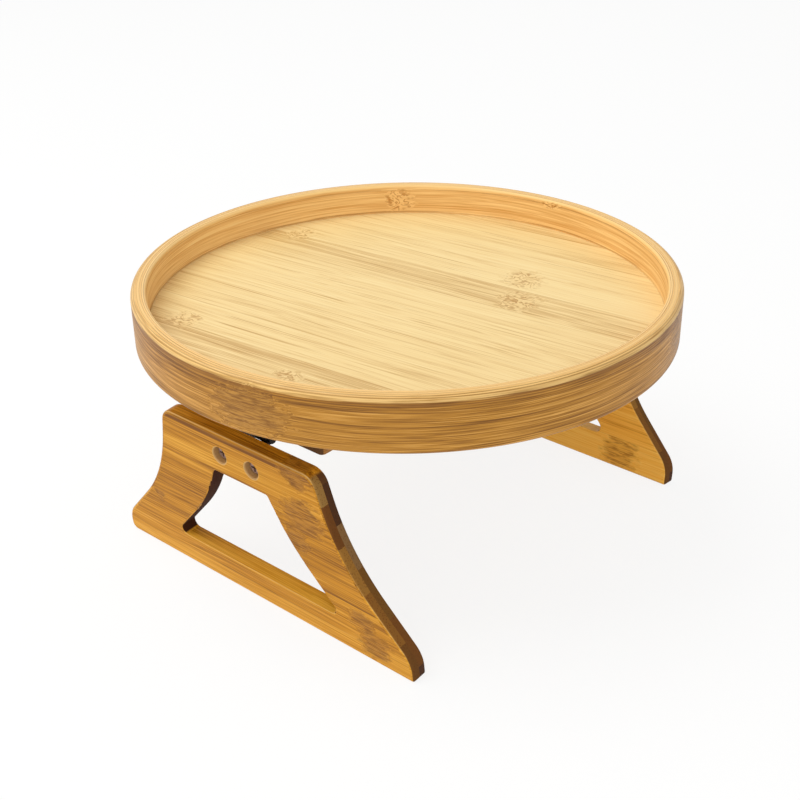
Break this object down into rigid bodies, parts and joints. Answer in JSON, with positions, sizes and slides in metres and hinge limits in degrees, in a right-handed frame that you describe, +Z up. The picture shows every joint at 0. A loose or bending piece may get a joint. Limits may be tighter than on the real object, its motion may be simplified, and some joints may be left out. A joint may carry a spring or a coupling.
{
  "type": "sofa arm tray",
  "caption": "Round bamboo tray with a raised bent-ply rim that turns on a wooden block, with sprung clip legs that grip a sofa's arm.",
  "frame": {"origin": "on the tray's vertical axis, level with the lowest edge of the two clip legs", "axes": "+Z up along the tray's axis, X along the legs and across the sofa's arm opening, -Y towards the near leg"},
  "size_m": [0.25, 0.25, 0.1268],
  "materials": {
    "bamboo_floor": "satin lacquered edge-glued bamboo",
    "bamboo_rim": "satin lacquered bent bamboo ply",
    "bamboo_leg": "satin lacquered bamboo board",
    "bamboo_block": "satin lacquered bamboo board",
    "zinc_steel": "bright zinc plated",
    "black_steel": "black oxide",
    "spring_steel": "drawn wire",
    "brass": "turned",
    "glide_plastic": "matt"
  },
  "bodies": {
    "tray": {"tray_floor": "bamboo_floor", "rim_inner_ply": "bamboo_rim", "rim_middle_ply": "bamboo_rim", "rim_outer_ply": "bamboo_rim", "pivot_insert": "brass", "pivot_bolt": "zinc_steel"},
    "bar": {"crossbar": "bamboo_block", "glide_washer": "glide_plastic", "pivot_flat_washer": "zinc_steel", "pivot_spring_washer": "spring_steel", "near_fixed_leaf": "black_steel", "near_bar_screws": "zinc_steel", "near_hinge_pin": "black_steel", "near_hinge_spring": "spring_steel", "far_fixed_leaf": "black_steel", "far_bar_screws": "zinc_steel", "far_hinge_pin": "black_steel", "far_hinge_spring": "spring_steel"},
    "near_leg_body": {"near_leg": "bamboo_leg", "near_moving_leaf": "black_steel", "near_leg_screws": "zinc_steel", "near_leg_nuts": "zinc_steel"},
    "far_leg_body": {"far_leg": "bamboo_leg", "far_moving_leaf": "black_steel", "far_leg_screws": "zinc_steel", "far_leg_nuts": "zinc_steel"}
  },
  "joints": [
    {"name": "tray_swivel", "type": "hinge", "parent": "bar", "child": "tray", "pos_m": [0, 0, 0.1], "axis": [0, 0, 1], "continuous": true},
    {"name": "near_leg_hinge", "type": "hinge", "parent": "bar", "child": "near_leg_body", "pos_m": [0, -0.1011, 0.08665], "axis": [-1, 0, 0], "range_deg": [0, 60], "stiffness_Nm_per_rad": 0.12, "springref_deg": -57.3, "deforming": ["near_hinge_spring"]},
    {"name": "far_leg_hinge", "type": "hinge", "parent": "bar", "child": "far_leg_body", "pos_m": [0, 0.1011, 0.08665], "axis": [1, 0, 0], "range_deg": [0, 60], "stiffness_Nm_per_rad": 0.12, "springref_deg": -57.3, "deforming": ["far_hinge_spring"]}
  ]
}
